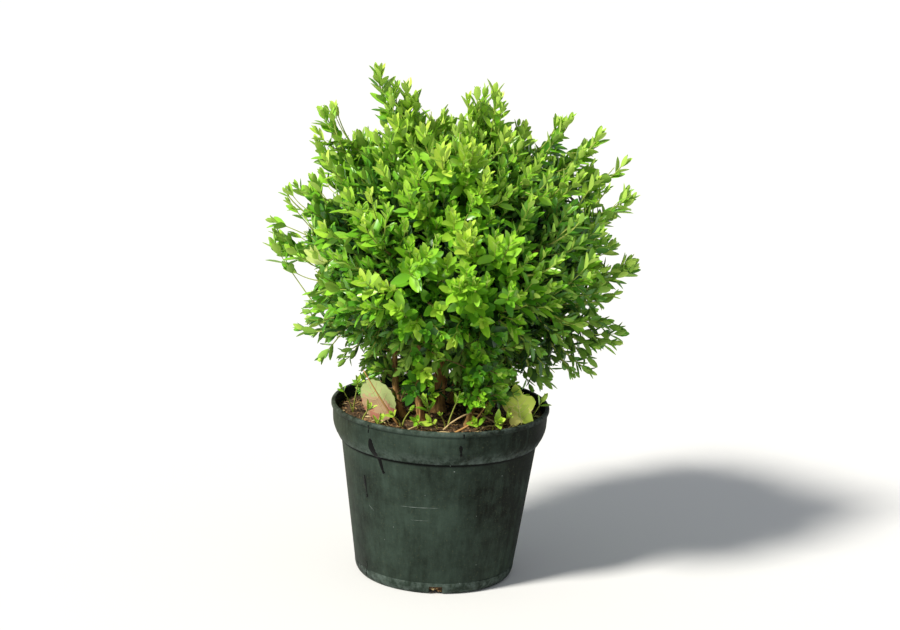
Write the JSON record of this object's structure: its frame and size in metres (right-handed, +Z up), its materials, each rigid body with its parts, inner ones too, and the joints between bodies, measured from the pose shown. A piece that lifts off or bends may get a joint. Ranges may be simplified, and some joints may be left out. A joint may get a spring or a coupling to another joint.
{
  "type": "potted common boxwood",
  "caption": "Small dense evergreen shrub with upright stems and paired oval leaves, in a round tapered plastic nursery pot with a deep rim band and drainage notches.",
  "frame": {"origin": "centre of the pot's flat underside", "axes": "+Z up along the pot's axis; -Y is the plant's front and +X its right side as the picture shows it"},
  "size_m": [0.3929, 0.3788, 0.5448],
  "materials": {
    "pot_plastic": "satin",
    "potting_soil": "matte",
    "bark": "matte",
    "foliage": "satin"
  },
  "bodies": {
    "root": {"pot": "pot_plastic", "soil": "potting_soil", "stem_middle": "bark", "stem_right": "bark", "stem_back_right": "bark", "stem_back_left": "bark", "stem_left": "bark", "stem_front_left": "bark", "stem_front_right": "bark", "bough_top_right": "bark", "bough_top_left": "bark", "bough_top_front": "bark", "foliage_right": "foliage", "foliage_back_right": "foliage", "foliage_back_left": "foliage", "foliage_left": "foliage", "foliage_front_left": "foliage", "foliage_front_right": "foliage", "foliage_top_right": "foliage", "foliage_top_left": "foliage", "foliage_top_front": "foliage"}
  },
  "joints": []
}
